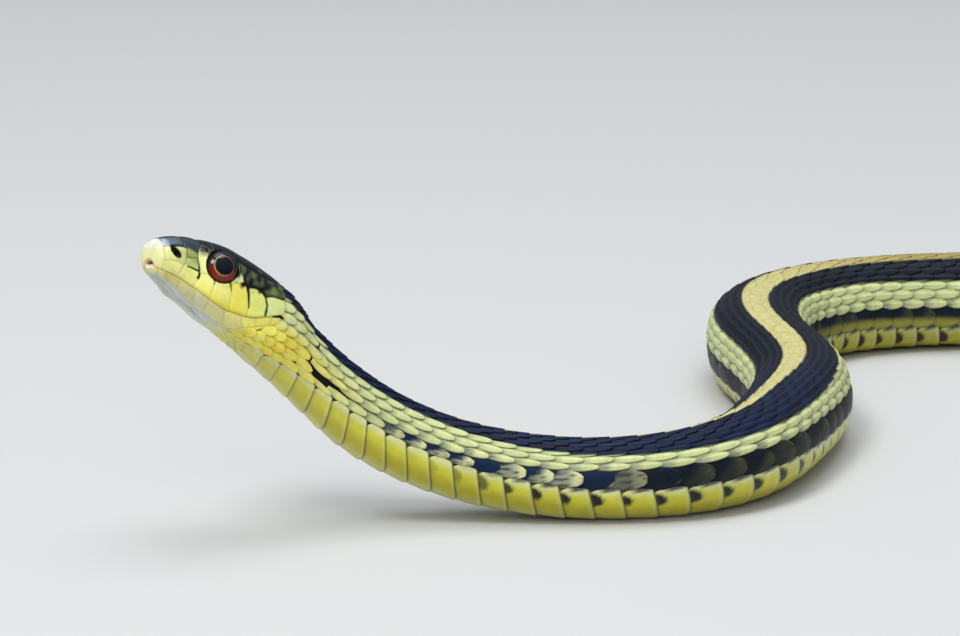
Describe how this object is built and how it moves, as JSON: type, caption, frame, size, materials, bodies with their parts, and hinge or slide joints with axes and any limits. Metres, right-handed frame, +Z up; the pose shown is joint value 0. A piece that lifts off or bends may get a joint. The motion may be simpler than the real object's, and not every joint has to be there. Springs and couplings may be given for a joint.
{
  "type": "garter snake",
  "caption": "Garter snake lying in open curves on a flat surface, head and neck raised, long tapering tail; a still, life-size museum model.",
  "frame": {"origin": "centre of the animal's footprint on the floor, at floor level", "axes": "+Z up; +X from the head's end of the lying animal to the tail's end; the animal's left side faces -Y at the head"},
  "size_m": [0.4683, 0.1142, 0.0363],
  "materials": {
    "head_scales": "satin",
    "body_scales": "satin",
    "eye": "gloss"
  },
  "bodies": {
    "root": {"head": "head_scales", "eye_left": "eye", "eye_right": "eye", "neck": "body_scales", "body_1": "body_scales", "body_2": "body_scales", "body_3": "body_scales", "body_4": "body_scales", "body_5": "body_scales", "body_6": "body_scales", "body_7": "body_scales", "tail_1": "body_scales", "tail_2": "body_scales"}
  },
  "joints": []
}
